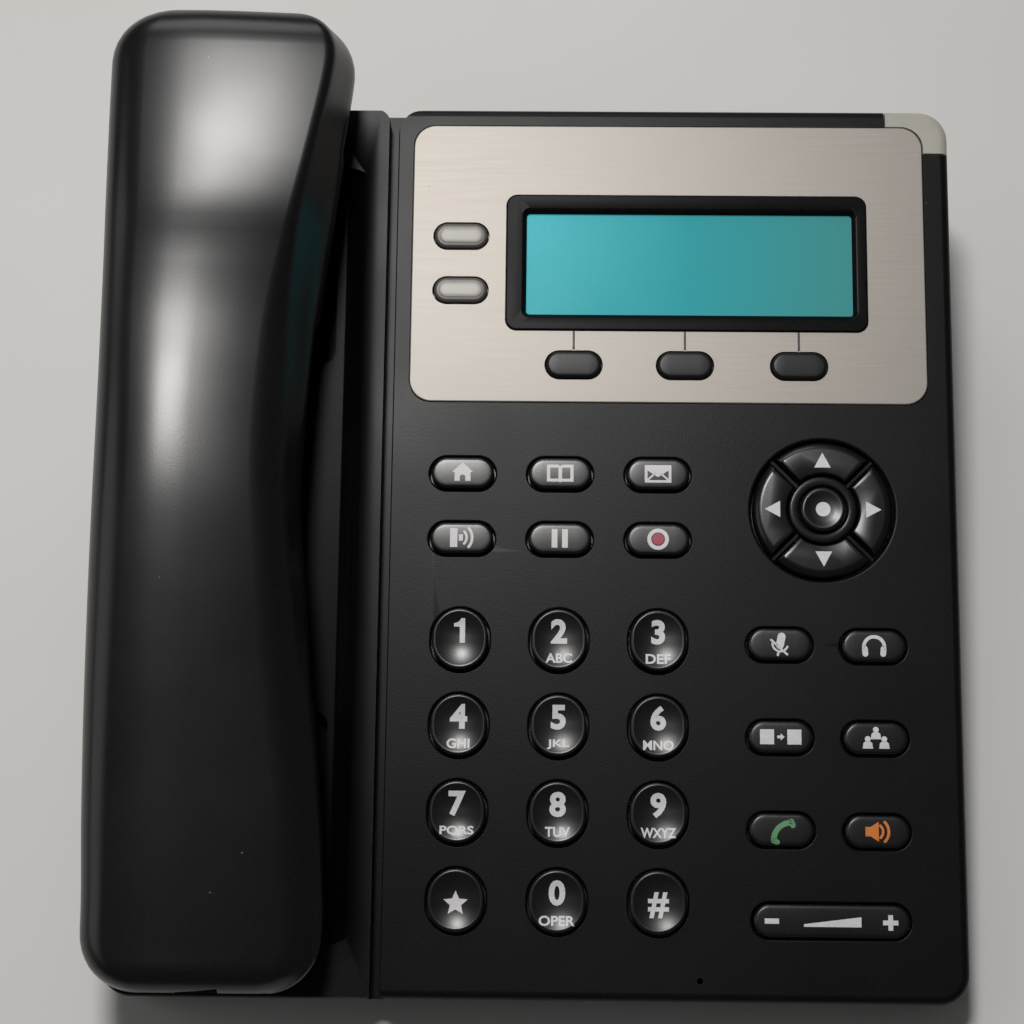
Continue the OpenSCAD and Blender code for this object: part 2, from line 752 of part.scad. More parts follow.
// Cross section of the handset at one ring, drawn inwards by t
module handset_slice(ring, t) {
    r = min(5, (ring[5] - ring[4]) / 2);
    mid = max(min(handset_mid_w, ring[5] - r), ring[4] + r);
    spots = [
        [ring[1] + r + 2.4, ring[5] - r], [ring[3] - r, ring[5] - r],
        [ring[1] + r, mid], [ring[2] - r, mid],
        [ring[1] + r + 8.2, ring[4] + r], [ring[2] - r - 7, ring[4] + r]
    ];
    for (p = spots) translate([p.x, ring[0], p.y]) rotate([90, 0, 0])
        cylinder(r = r - t, h = 0.02, center = true, $fn = 24);
}

module handset_loft(t, first, last) {
    for (i = [first:last - 1]) hull() {
        handset_slice(handset_rings[i], t);
        handset_slice(handset_rings[i + 1], t);
    }
}

module handset_body() {
    last = len(handset_rings) - 1;
    difference() {
        handset_loft(0, 0, last);
        handset_loft(handset_wall, 2, last - 2);
    }
}

module handset_top_shell() {
    color("#1b1b1f") face() difference() {
        intersection() {
            handset_body();
            translate([-120, -100, handset_seam_w]) cube([100, 260, 60]);
        }
        translate([handset_u - 4.3, -80, handset_mouth_w[0] - 0.4]) cube([8.6, 20, 7.1]);
    }
}

module handset_bottom_shell() {
    color("#1b1b1f") face() difference() {
        intersection() {
            handset_body();
            translate([-120, -100, handset_seam_w - 60]) cube([100, 260, 60]);
        }
        drill(receiver_at, 1, -20, 0);
        for (n = [6, 12], i = [0:n - 1]) drill(receiver_at + n * 0.75 * [cos(360 * i / n), sin(360 * i / n)], 1, -20, 0, $fn = 16);
        for (s = [-1:1]) slab(-20, 0) translate(mic_at + [s * 3, 0]) stadium(1.4, 5);
    }
}

module handset_receiver() {
    color("#8f8f94") face() {
        drill(receiver_at, receiver_r, -9, -4);
        drill(receiver_at, 9, -4, 0);
    }
}

module handset_microphone() {
    color("#8f8f94") face() drill(mic_at, mic_r, -9.1, -4.5);
}

module handset_jack() {
    color("#101012") face() difference() {
        translate([handset_u - 5.5, handset_jack_v[0] + 2.6, handset_jack_w[0]])
            cube([11, handset_jack_v[1] - handset_jack_v[0] - 2.6, handset_jack_w[1] - handset_jack_w[0] - 1.5]);
        translate([handset_u - 3.9, handset_jack_v[0] - 1, handset_mouth_w[0]]) cube([7.8, 12, 6.3]);
    }
}

lower_housing();
upper_housing();
display_fascia();
lcd_bezel();
lcd_window();
lcd_module();
message_lamp();
nav_bezel();
keypad_mat();
keypad_board();
main_board();
loudspeaker();
network_jacks();
power_jack();
side_jacks();
cradle_tab();
rubber_feet();
screws();
hook_microswitch();
hook_plunger();
handset_top_shell();
handset_bottom_shell();
handset_receiver();
handset_microphone();
handset_jack();
for (k = dial_keys) dial_key(k);
for (k = panel_pills) pill_key(k, pill_proud);
for (k = fascia_pills) pill_key(k, fascia_pill_proud);
for (i = [0:3]) nav_key(i);
ok_key();
volume_rocker();
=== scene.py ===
"""A desk phone for network calls: its visible surfaces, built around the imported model.

Shapes are drawn in the face frame, in millimetres: u to the right, v up the slope and w out of the
face, from the point of the face under the digit key 2. FACE carries them to the table frame.
"""
import json
import math

import bmesh
import bpy
from mathutils import Matrix, Vector


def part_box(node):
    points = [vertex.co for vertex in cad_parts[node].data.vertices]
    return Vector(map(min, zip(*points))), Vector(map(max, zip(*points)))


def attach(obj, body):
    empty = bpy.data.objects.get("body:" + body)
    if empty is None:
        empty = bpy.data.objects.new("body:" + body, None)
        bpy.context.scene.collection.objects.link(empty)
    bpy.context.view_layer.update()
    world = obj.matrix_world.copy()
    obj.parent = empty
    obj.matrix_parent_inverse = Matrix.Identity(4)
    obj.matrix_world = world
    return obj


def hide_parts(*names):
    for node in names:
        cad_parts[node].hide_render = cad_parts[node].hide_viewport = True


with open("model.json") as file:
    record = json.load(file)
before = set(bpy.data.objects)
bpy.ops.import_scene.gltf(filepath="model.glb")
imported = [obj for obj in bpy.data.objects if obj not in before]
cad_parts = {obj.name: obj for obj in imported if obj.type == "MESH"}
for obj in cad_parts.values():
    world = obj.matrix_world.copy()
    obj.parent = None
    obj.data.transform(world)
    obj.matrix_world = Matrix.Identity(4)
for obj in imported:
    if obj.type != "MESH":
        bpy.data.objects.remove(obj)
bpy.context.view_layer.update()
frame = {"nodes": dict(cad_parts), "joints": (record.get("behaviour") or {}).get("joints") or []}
scene = bpy.context.scene
scene.view_settings.view_transform = "Standard"

MM = 0.001
HOUSING = "housing"
HANDSET = "handset"
DIAL_TOP = 1.9        # how far the rim of a dial key stands out of the face
PRINT = 0.02          # half the thickness of a printed legend

# Each border of the painted shade on the cradle, where the housing's colour is darkened to stand in for the
# handset's shadow: where it starts and where it is full
CRADLE_RIGHT = (-38, -45)
CRADLE_LEFT = (-99, -96.5)
CRADLE_LOW = (-70, -60)
CRADLE_HIGH = (120, 108)

# Outlines of the keys, along u and along v
DIAL_SIZE = (12, 13.3)
PILL_SIZE = (13.7, 6.9)
SOFT_SIZE = (12.2, 6)
LINE_SIZE = (11.9, 5.8)
LINE_LIGHT_SIZE = (9.8, 3.7)
ROCKER_SIZE = (32.8, 6.9)
OK_SIZE = (9.8, 9.8)

# Navigation keys: inner and outer radius, half the gap between two, and where the arrows stand
NAV_R = (7.7, 15.2)
NAV_GAP = 0.8
ARROW_R = 10.9
ARROW_W = 0.9
RING_R = (5.3, 7.4)   # the fixed ring round the OK key


# ---- the face frame ----

def joint(name):
    return next(j for j in frame["joints"] if j["name"] == name)


OUT = -Vector(joint("key_2_press")["axis"]).normalized()
RIGHT = Vector((1, 0, 0))
UP = OUT.cross(RIGHT)
TURN = Matrix((RIGHT, UP, OUT)).transposed()


def turned_box(node):
    """Lowest and highest corner of a CAD node along the face's own directions, in millimetres."""
    back = TURN.transposed()
    points = [back @ v.co / MM for v in frame["nodes"][node].data.vertices]
    low = Vector([min(p[i] for p in points) for i in range(3)])
    high = Vector([max(p[i] for p in points) for i in range(3)])
    return low, high


_low, _high = turned_box("key_2")
ORIGIN = Vector(((_low.x + _high.x) / 2, (_low.y + _high.y) / 2, _high.z - DIAL_TOP))
FACE = Matrix.Translation(TURN @ ORIGIN * MM) @ TURN.to_4x4() @ Matrix.Scale(MM, 4)


def face_box(node):
    """Lowest and highest corner of a CAD node in the face frame."""
    low, high = turned_box(node)
    return low - ORIGIN, high - ORIGIN


def centre(node):
    low, high = face_box(node)
    return (low + high) / 2


# ---- materials ----

def srgb(r, g, b):
    """Linear colour of an sRGB one given from 0 to 255."""
    def line(x):
        x /= 255
        return x / 12.92 if x <= 0.04045 else ((x + 0.055) / 1.055) ** 2.4
    return (line(r), line(g), line(b), 1)


class Paint:
    """A material and short ways to add the nodes that shape it."""

    def __init__(self, name):
        self.mat = bpy.data.materials.new(name)
        self.mat.use_nodes = True
        self.tree = self.mat.node_tree
        self.tree.nodes.clear()
        out = self.add("ShaderNodeOutputMaterial")
        self.shader = self.add("ShaderNodeBsdfPrincipled")
        self.link(self.shader.outputs[0], out.inputs[0])
        self.place = self.add("ShaderNodeTexCoord").outputs["Object"]

    def add(self, kind, **settings):
        node = self.tree.nodes.new(kind)
        for key, value in settings.items():
            setattr(node, key, value)
        return node

    def link(self, a, b):
        self.tree.links.new(a, b)

    def put(self, socket, value):
        """Links value to the socket if it is an output, and sets it otherwise."""
        if isinstance(value, bpy.types.NodeSocket):
            self.link(value, socket)
        else:
            socket.default_value = value

    def stretched(self, scale):
        node = self.add("ShaderNodeMapping")
        self.link(self.place, node.inputs["Vector"])
        node.inputs["Scale"].default_value = scale
        return node.outputs[0]

    def noise(self, scale, detail=2, rough=0.5, place=None):
        node = self.add("ShaderNodeTexNoise")
        self.link(place or self.place, node.inputs["Vector"])
        node.inputs["Scale"].default_value = scale
        node.inputs["Detail"].default_value = detail
        node.inputs["Roughness"].default_value = rough
        return node.outputs["Fac"]

    def ramp(self, value, low, high, to_low=0.0, to_high=1.0):
        node = self.add("ShaderNodeMapRange")
        self.put(node.inputs["Value"], value)
        for key, x in zip(("From Min", "From Max", "To Min", "To Max"), (low, high, to_low, to_high)):
            node.inputs[key].default_value = x
        return node.outputs["Result"]

    def math(self, kind, a, b=0.0):
        node = self.add("ShaderNodeMath", operation=kind)
        self.put(node.inputs[0], a)
        self.put(node.inputs[1], b)
        return node.outputs[0]

    def mix(self, factor, a, b):
        node = self.add("ShaderNodeMix", data_type="RGBA")
        self.put(node.inputs["Factor"], factor)
        self.put(node.inputs[6], a)
        self.put(node.inputs[7], b)
        return node.outputs[2]

    def specks(self, scale, size, share):
        """Small round spots in some cells of a grid, on what faces up."""
        cells = self.add("ShaderNodeTexVoronoi")
        self.link(self.place, cells.inputs["Vector"])
        cells.inputs["Scale"].default_value = scale
        near = self.ramp(cells.outputs["Distance"], size, size * 0.4)
        parts = self.add("ShaderNodeSeparateColor")
        self.link(cells.outputs["Color"], parts.inputs[0])
        some = self.ramp(parts.outputs[0], 1 - share, 1 - share + 0.02)
        normal = self.add("ShaderNodeSeparateXYZ")
        self.link(self.add("ShaderNodeNewGeometry").outputs["Normal"], normal.inputs[0])
        upward = self.ramp(normal.outputs[2], 0.3, 0.8)
        return self.math("MULTIPLY", self.math("MULTIPLY", near, some), upward)

    def edges(self, radius):
        """1 along sharp outer edges and 0 elsewhere."""
        bevel = self.add("ShaderNodeBevel", samples=4)
        bevel.inputs["Radius"].default_value = radius * MM
        dot = self.add("ShaderNodeVectorMath", operation="DOT_PRODUCT")
        self.link(bevel.outputs[0], dot.inputs[0])
        self.link(self.add("ShaderNodeNewGeometry").outputs["Normal"], dot.inputs[1])
        return self.ramp(dot.outputs["Value"], 0.98, 0.85)

    def bump(self, height, distance, strength=1.0):
        node = self.add("ShaderNodeBump")
        node.inputs["Strength"].default_value = strength
        node.inputs["Distance"].default_value = distance * MM
        self.put(node.inputs["Height"], height)
        self.link(node.outputs[0], self.shader.inputs["Normal"])

    def set(self, **values):
        for key, value in values.items():
            self.put(self.shader.inputs[key.replace("_", " ")], value)


def cradle_painted_shade(p):
    """Painted shade: 1 in the cradle, beside and under the handset, where the housing is painted darker and
    duller to stand in for shadow, and 0 on the rest of the housing.
    """

    def along(axis, offset):
        dot = p.add("ShaderNodeVectorMath", operation="DOT_PRODUCT")
        p.link(p.place, dot.inputs[0])
        dot.inputs[1].default_value = axis
        return p.math("SUBTRACT", dot.outputs["Value"], offset * MM)
    u, v, w = along(RIGHT, ORIGIN.x), along(UP, ORIGIN.y), along(OUT, ORIGIN.z)
    inside = p.ramp(w, 0.6 * MM, -1.0 * MM)
    for value, outer, inner in ((u, *CRADLE_RIGHT), (u, *CRADLE_LEFT), (v, *CRADLE_LOW), (v, *CRADLE_HIGH)):
        inside = p.math("MULTIPLY", inside, p.ramp(value, outer * MM, inner * MM))
    return inside


def plastic(name, colour, rough, grain=0.35, depth=0.02, dust=0.0, wear=0.0, cloud=0.08, shade=None, **extra):
    """Moulded plastic: a grain of the given size and depth in mm, cloudy colour, dust and worn edges.

    shade(p) gives where painted shade makes it darker and duller."""
    p = Paint(name)
    tone = p.noise(70, 4, 0.6)
    darker = tuple(c * (1 - cloud) for c in colour[:3]) + (1,)
    lighter = tuple(c * (1 + cloud) for c in colour[:3]) + (1,)
    base = p.mix(p.ramp(tone, 0.3, 0.7), darker, lighter)
    fine = p.noise(1000 / grain, 2, 0.6)
    base = p.mix(p.ramp(fine, 0.35, 0.75, 0, 0.04), base, srgb(90, 90, 95))
    if wear:
        worn = p.math("MULTIPLY", p.edges(0.35), p.ramp(p.noise(300, 3), 0.35, 0.7, 0, wear))
        base = p.mix(worn, base, srgb(128, 126, 128))
    if dust:
        base = p.mix(p.math("MULTIPLY", p.specks(330, 0.10, dust), 0.35), base, srgb(190, 186, 180))
    smear = p.ramp(p.noise(28, 2, 0.5), 0.1, 0.9, -0.06, 0.06)
    if shade:
        # painted shade: the colour goes almost black and the gloss drops where shade(p) is 1
        dark = shade(p)
        base = p.mix(dark, base, srgb(5, 5, 6))
        level = extra.get("Specular_IOR_Level", 0.5)
        extra["Specular_IOR_Level"] = p.ramp(dark, 0, 1, level, level * 0.35)
    p.set(Base_Color=base, Roughness=p.math("ADD", smear, rough), **extra)
    p.bump(fine, depth)
    return p.mat


def ink(name, colour):
    p = Paint(name)
    patchy = p.ramp(p.noise(900, 3, 0.6), 0.3, 0.75)
    p.set(Base_Color=p.mix(patchy, tuple(c * 0.86 for c in colour[:3]) + (1,), colour),
          Roughness=p.ramp(patchy, 0, 1, 0.42, 0.52))
    p.bump(p.noise(2600, 2), 0.008)
    return p.mat


def silver():
    """Satin silver paint with fine brushing along the fascia's length."""
    p = Paint("silver_fascia")
    lines = p.noise(1, 5, 0.7, p.stretched((60, 5000, 5000)))
    cloud = p.noise(22, 3, 0.6)
    base = p.mix(p.ramp(lines, 0.3, 0.7), srgb(141, 136, 130), srgb(154, 149, 143))
    base = p.mix(p.ramp(cloud, 0.3, 0.75, 0, 0.35), base, srgb(146, 141, 134))
    base = p.mix(p.math("MULTIPLY", p.specks(300, 0.10, 0.10), 0.5), base, srgb(110, 104, 98))
    p.set(Base_Color=base, Metallic=0.5, Roughness=p.ramp(lines, 0.2, 0.8, 0.42, 0.50), IOR=1.5)
    p.bump(lines, 0.006, 0.5)
    return p.mat


def display():
    """Backlit display behind its clear window: brighter towards the upper left."""
    p = Paint("display_glass")
    at = p.add("ShaderNodeSeparateXYZ")
    p.link(p.place, at.inputs[0])
    low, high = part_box("lcd_window")
    across = p.ramp(at.outputs[0], low.x, high.x)
    along = p.ramp(at.outputs[1], low.y, high.y)
    left = p.mix(p.ramp(along, 0, 1), srgb(50, 168, 178), srgb(66, 184, 194))
    colour = p.mix(p.ramp(across, 0, 0.5), left, srgb(38, 150, 157))
    colour = p.mix(p.ramp(across, 0.5, 1), colour, srgb(64, 134, 134))
    mesh = p.noise(1, 1, 0.5, p.stretched((1800, 1800, 1800)))
    colour = p.mix(p.ramp(mesh, 0.3, 0.8, 0, 0.12), colour, srgb(44, 120, 122))
    p.set(Base_Color=p.mix(0.5, colour, srgb(10, 20, 22)),
          Roughness=p.ramp(p.noise(60, 3), 0.3, 0.7, 0.3, 0.36),
          Specular_IOR_Level=0.08, Emission_Color=colour, Emission_Strength=0.62)
    p.bump(p.noise(1500, 1), 0.002)
    return p.mat


def board():
    """Green circuit board with paler copper areas under the solder mask."""
    p = Paint("circuit_board")
    areas = p.add("ShaderNodeTexVoronoi", feature="F1", distance="CHEBYCHEV")
    p.link(p.place, areas.inputs["Vector"])
    areas.inputs["Scale"].default_value = 160
    base = p.mix(p.ramp(areas.outputs["Distance"], 0.32, 0.36), srgb(26, 92, 52), srgb(18, 66, 40))
    p.set(Base_Color=p.mix(p.ramp(p.noise(500, 3), 0.3, 0.7, 0, 0.4), base, srgb(36, 104, 60)),
          Roughness=p.ramp(p.noise(90, 2), 0.3, 0.7, 0.3, 0.42))
    p.bump(areas.outputs["Distance"], 0.03, 0.4)
    return p.mat


def metal(name, colour, rough):
    p = Paint(name)
    scratch = p.noise(1, 4, 0.7, p.stretched((3000, 300, 900)))
    base = p.mix(p.ramp(scratch, 0.3, 0.7), tuple(c * 0.8 for c in colour[:3]) + (1,), colour)
    p.set(Base_Color=base, Metallic=1.0, Roughness=p.ramp(scratch, 0.2, 0.8, rough, rough + 0.12))
    p.bump(scratch, 0.01, 0.5)
    return p.mat


# the housing's colour carries painted shade in the cradle
CASE = plastic("dark_housing", srgb(12, 11, 13), 0.36, 0.42, 0.015, dust=0.015, wear=0.25, shade=cradle_painted_shade,
               Specular_IOR_Level=0.16)
BASE = plastic("dark_base", srgb(14, 13, 15), 0.5, 0.5, 0.03, wear=0.25, Specular_IOR_Level=0.3)
GLOSS = plastic("black_gloss", srgb(14, 14, 16), 0.24, 0.6, 0.004, dust=0.02, Specular_IOR_Level=0.3)
BEZEL = plastic("display_frame", srgb(10, 10, 12), 0.3, 0.6, 0.004, dust=0.02, Specular_IOR_Level=0.05)
KEY = plastic("key_black", srgb(9, 9, 10), 0.30, 0.5, 0.004, dust=0.02, wear=0.2)
SOFT = plastic("soft_key_grey", srgb(24, 22, 23), 0.36, 0.5, 0.006, wear=0.2, Specular_IOR_Level=0.24)
SHELL = plastic("handset_plastic", srgb(9, 8, 10), 0.29, 0.45, 0.005, dust=0.03, wear=0.2)
LINE = plastic("line_key_rim", srgb(84, 81, 77), 0.34, 0.5, 0.006, cloud=0.05,
               Subsurface_Weight=0.25, Subsurface_Scale=0.002)
CLEAR = plastic("line_key_clear", srgb(170, 166, 158), 0.36, 0.5, 0.006, cloud=0.05,
                Subsurface_Weight=0.2, Subsurface_Scale=0.001)
LAMP = plastic("lamp_lens", srgb(200, 198, 187), 0.34, 0.6, 0.01, dust=0.06, cloud=0.06,
               Subsurface_Weight=0.35, Subsurface_Scale=0.004, Transmission_Weight=0.25)
RUBBER = plastic("key_rubber", srgb(112, 112, 116), 0.7, 0.4, 0.02)
INNER = plastic("inner_plastic", srgb(34, 34, 37), 0.5, 0.5, 0.02)
FOOT = plastic("foot_rubber", srgb(46, 46, 48), 0.8, 0.6, 0.06)
SILVER = silver()
GLASS = display()
PANEL = plastic("display_panel", srgb(60, 96, 90), 0.4, 0.6, 0.01)
BOARD = board()
TIN = metal("jack_metal", srgb(150, 152, 156), 0.3)
STEEL = metal("screw_steel", srgb(170, 170, 172), 0.28)
WHITE = ink("legend_white", srgb(226, 224, 226))
RED = ink("legend_red", srgb(176, 58, 76))
GREEN = ink("legend_green", srgb(96, 156, 108))
ORANGE = ink("legend_orange", srgb(226, 128, 44))
DARK = ink("leader_dark", srgb(30, 29, 31))


# ---- making pieces ----

def new_piece(name, bm, mat, body, replaces=(), smooth=40):
    """A finished piece from a mesh drawn in the face frame."""
    bmesh.ops.remove_doubles(bm, verts=bm.verts, dist=0.002)
    bmesh.ops.recalc_face_normals(bm, faces=bm.faces)
    mesh = bpy.data.meshes.new(name)
    bm.to_mesh(mesh)
    bm.free()
    return piece_of(name, mesh, mat, body, replaces, smooth)


def piece_of(name, mesh, mat, body, replaces=(), smooth=40):
    mesh.transform(FACE)
    mesh.materials.clear()
    mesh.materials.append(mat)
    if smooth:
        mesh.shade_smooth()
        mesh.set_sharp_from_angle(angle=math.radians(smooth))
    obj = bpy.data.objects.new(name, mesh)
    scene.collection.objects.link(obj)
    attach(obj, body)
    if replaces:
        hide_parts(*replaces)
    return obj


def loft(bm, rings, closed=True, caps=True):
    """Skin over rings of points with the same count each."""
    rows = [[bm.verts.new(p) for p in ring] for ring in rings]
    n = len(rows[0])
    for a, b in zip(rows, rows[1:]):
        for i in range(n if closed else n - 1):
            j = (i + 1) % n
            bm.faces.new((a[i], a[j], b[j], b[i]))
    if caps:
        bm.faces.new(rows[0][::-1])
        bm.faces.new(rows[-1])


def stadium(at, length, width, inset, w, n=20):
    """Ring of points round a stadium that lies along u if it is longer than wide, and else along v."""
    r = max(min(length, width) / 2 - inset, 0)
    half = abs(length - width) / 2
    ring = []
    for side in (1, -1):
        for i in range(n + 1):
            a = math.pi * (i / n - 0.5) + (0 if side > 0 else math.pi)
            x, y = side * half + r * math.cos(a), r * math.sin(a)
            if width > length:
                x, y = -y, x
            ring.append(Vector((at[0] + x, at[1] + y, w)))
    return ring


def arc(r_in, r_up, inset, w, n=6):
    """Profile points of a rounded outer edge that starts upright at (inset, w)."""
    return [(inset + r_in * (1 - math.cos(math.pi / 2 * i / n)), w + r_up * math.sin(math.pi / 2 * i / n))
            for i in range(n + 1)]


FLANGE = [(-1, -3.5), (-1, -2.5), (0, -2.5)]


def dial_profile(r):
    steps = (0, 0.12, 0.25, 0.4, 0.55, 0.7, 0.85, 1)
    dish = [(1.0 + (r - 1.0) * t, 1.14 + 0.68 * (1 - t) ** 2) for t in steps]
    return FLANGE + arc(0.6, 0.6, 0, 1.3) + [(0.8, 1.88)] + dish


def pill_profile(r, top, edge=0.75, crown=0.06):
    face = [(edge + (r - edge) * t, top - crown * (1 - t) ** 2) for t in (0, 0.2, 0.4, 0.6, 0.8, 1)]
    return FLANGE + arc(edge, edge, 0, top - crown - edge)[:-1] + face


def surface_w(profile, inset):
    """Height of the top of a key at a distance from its outline."""
    top = profile[len(FLANGE):]
    for (i0, w0), (i1, w1) in zip(top, top[1:]):
        if i0 <= inset <= i1 and i1 > i0:
            return w0 + (w1 - w0) * (inset - i0) / (i1 - i0)
    return top[-1][1]


def slice_by(bm, point, normal, **options):
    return bmesh.ops.bisect_plane(bm, geom=bm.verts[:] + bm.edges[:] + bm.faces[:], plane_co=point,
                                  plane_no=normal, **options)


def sliced(mesh, step=0.6):
    """Cuts a flat mesh into narrow bands both ways, so that it can follow a curved surface."""
    bm = bmesh.new()
    bm.from_mesh(mesh)
    for axis in (0, 1):
        at = [v.co[axis] for v in bm.verts]
        for k in range(math.ceil(min(at) / step), math.ceil(max(at) / step)):
            plane = Vector((0, 0, 0))
            plane[axis] = k * step
            normal = Vector((0, 0, 0))
            normal[axis] = 1
            slice_by(bm, plane, normal)
    bm.to_mesh(mesh)
    bm.free()


class Key:
    """A key over its CAD node: its outline, and the height of its top for the legends."""

    def __init__(self, node, length, width, profile, mat, slot="key_black"):
        self.node, self.length, self.width, self.profile = node, length, width, profile
        middle = centre(node)
        self.at = (middle.x, middle.y)
        bm = bmesh.new()
        loft(bm, [stadium(self.at, length, width, inset, w) for inset, w in profile])
        self.obj = new_piece(node + "_cap", bm, mat, node, [node])

    def height(self, x, y):
        half = abs(self.length - self.width) / 2
        if self.width > self.length:
            x, y = y, x
        reach = math.hypot(max(abs(x) - half, 0), y)
        return surface_w(self.profile, min(self.length, self.width) / 2 - reach)

    def print(self, mark, mesh, mat, x=0.0, y=0.0):
        """Prints a flat mesh on the key's top with its middle at (x, y)."""
        sliced(mesh)
        for v in mesh.vertices:
            px, py = v.co.x + x, v.co.y + y
            v.co = Vector((self.at[0] + px, self.at[1] + py, self.height(px, py) + PRINT * 0.5 + v.co.z))
        piece_of(f"{self.node}_{mark}", mesh, mat, self.node, smooth=0)


def flat_mesh(curve):
    """Mesh of a text or flat curve, which is then removed."""
    obj = bpy.data.objects.new("drawing", curve)
    scene.collection.objects.link(obj)
    bpy.context.view_layer.update()
    shape = obj.evaluated_get(bpy.context.evaluated_depsgraph_get())
    mesh = bpy.data.meshes.new_from_object(shape)
    bpy.data.objects.remove(obj)
    bpy.data.curves.remove(curve)
    bm = bmesh.new()
    bm.from_mesh(mesh)
    bmesh.ops.remove_doubles(bm, verts=bm.verts, dist=0.0005)
    bm.to_mesh(mesh)
    bm.free()
    return mesh


def lettering(text, height, width=None, bold=0.02):
    """Bold sans lettering of the given height and width in mm, centred on its own box."""
    curve = bpy.data.curves.new("drawing", "FONT")
    curve.body = text
    curve.offset = bold
    curve.resolution_u = 4
    curve.extrude = PRINT
    mesh = flat_mesh(curve)
    xs = [v.co.x for v in mesh.vertices]
    ys = [v.co.y for v in mesh.vertices]
    scale_y = height / (max(ys) - min(ys))
    scale_x = scale_y if width is None else width / (max(xs) - min(xs))
    for v in mesh.vertices:
        v.co.x = (v.co.x - (max(xs) + min(xs)) / 2) * scale_x
        v.co.y = (v.co.y - (max(ys) + min(ys)) / 2) * scale_y
    return mesh


def plate(*shapes):
    """Thin plate of filled shapes. Each is a list of closed loops, and inner loops are holes."""
    bm = bmesh.new()
    for loops in shapes:
        curve = bpy.data.curves.new("drawing", "CURVE")
        curve.dimensions = "2D"
        curve.fill_mode = "BOTH"
        curve.extrude = PRINT
        for loop in loops:
            spline = curve.splines.new("POLY")
            spline.points.add(len(loop) - 1)
            for point, (x, y) in zip(spline.points, loop):
                point.co = (x, y, 0, 1)
            spline.use_cyclic_u = True
        mesh = flat_mesh(curve)
        bm.from_mesh(mesh)
        bpy.data.meshes.remove(mesh)
    mesh = bpy.data.meshes.new("drawing")
    bm.to_mesh(mesh)
    bm.free()
    return mesh


def disc(x, y, r, n=28):
    return [(x + r * math.cos(2 * math.pi * i / n), y + r * math.sin(2 * math.pi * i / n)) for i in range(n)]


def bar(x0, y0, x1, y1):
    return [(x0, y0), (x1, y0), (x1, y1), (x0, y1)]


def stroke(points, width):
    """Outline of a line of the given width through the points, with round ends."""
    left, right = [], []
    for i, p in enumerate(points):
        a = Vector(points[max(i - 1, 0)])
        b = Vector(points[min(i + 1, len(points) - 1)])
        along = (b - a).normalized()
        side = Vector((-along.y, along.x)) * width / 2
        left.append(Vector(p) + side)
        right.append(Vector(p) - side)

    def cap(p, start):
        """Half circle round p, clockwise from the direction of start."""
        a0 = math.atan2(start.y, start.x)
        return [(p[0] + width / 2 * math.cos(a0 - math.pi * k / 8),
                 p[1] + width / 2 * math.sin(a0 - math.pi * k / 8)) for k in range(1, 8)]

    end = cap(points[-1], left[-1] - Vector(points[-1]))
    begin = cap(points[0], right[0] - Vector(points[0]))
    return [tuple(p) for p in left] + end + [tuple(p) for p in reversed(right)] + begin


def bow(x, y, r, a0, a1, n=16):
    """Points of an arc from the angle a0 to a1, in degrees."""
    return [(x + r * math.cos(math.radians(a0 + (a1 - a0) * i / n)),
             y + r * math.sin(math.radians(a0 + (a1 - a0) * i / n))) for i in range(n + 1)]


def turned(loop, degrees, x=0.0, y=0.0):
    """A loop turned about its origin and then moved to (x, y)."""
    c, s = math.cos(math.radians(degrees)), math.sin(math.radians(degrees))
    return [(x + px * c - py * s, y + px * s + py * c) for px, py in loop]


# ---- dial keys ----

DIAL = {"1": "", "2": "ABC", "3": "DEF", "4": "GHI", "5": "JKL", "6": "MNO",
        "7": "PQRS", "8": "TUV", "9": "WXYZ", "star": "", "0": "OPER", "hash": ""}
LETTER_WIDTH = {"ABC": 5.7, "DEF": 5.4, "GHI": 4.9, "JKL": 4.8, "MNO": 6.5, "PQRS": 7.2, "TUV": 5.3,
                "WXYZ": 7.5, "OPER": 7.6}
ONE = [(-0.05, -2.65), (1.1, -2.65), (1.1, 2.65), (0.25, 2.65), (-0.1, 2.1), (-0.6, 1.75), (-1.3, 1.6),
       (-1.3, 0.85), (-0.05, 0.85)]      # outline of the digit 1


def star(r, inner, n=5):
    return [((r if i % 2 == 0 else inner) * math.sin(math.pi * i / n),
             (r if i % 2 == 0 else inner) * math.cos(math.pi * i / n)) for i in range(2 * n)]


def dial_keys():
    for mark, letters in DIAL.items():
        key = Key("key_" + mark, *DIAL_SIZE, dial_profile(DIAL_SIZE[0] / 2), KEY)
        if mark == "star":
            key.print("legend", plate([star(2.7, 1.25)]), WHITE, 0, -0.6)
        elif mark == "hash":
            key.print("legend", lettering("#", 5.4, 4.4, 0.03), WHITE, 0, -0.5)
        else:
            glyph = plate([ONE]) if mark == "1" else lettering(mark, 5.3, None, 0.04)
            key.print("legend", glyph, WHITE, 0, 1.8)
        if letters:
            key.print("letters", lettering(letters, 2.15, LETTER_WIDTH[letters], 0.028), WHITE, 0, -4.0)


# ---- pill keys ----

def house():
    return [[(-2.3, 0.1), (0, 2.2), (2.3, 0.1), (1.75, 0.1), (1.75, -1.9), (0.6, -1.9), (0.6, -0.9),
             (0.35, -0.55), (-0.35, -0.55), (-0.6, -0.9), (-0.6, -1.9), (-1.75, -1.9), (-1.75, 0.1)]]


def book():
    outer = [(-2.9, -1.9), (-0.35, -1.9), (0, -2.1), (0.35, -1.9), (2.9, -1.9), (2.9, 1.9), (0.5, 1.9),
             (0, 1.6), (-0.5, 1.9), (-2.9, 1.9)]
    return [outer, bar(-2.2, -1.25, -0.4, 1.2), bar(0.4, -1.25, 2.2, 1.2)]


def figure(x, y):
    return [disc(x, y + 0.95, 0.62, 20)], [[(x - 1.1, y - 1.1), (x + 1.1, y - 1.1), (x + 0.95, y + 0.05),
                                            (x + 0.5, y + 0.42), (x - 0.5, y + 0.42), (x - 0.95, y + 0.05)]]


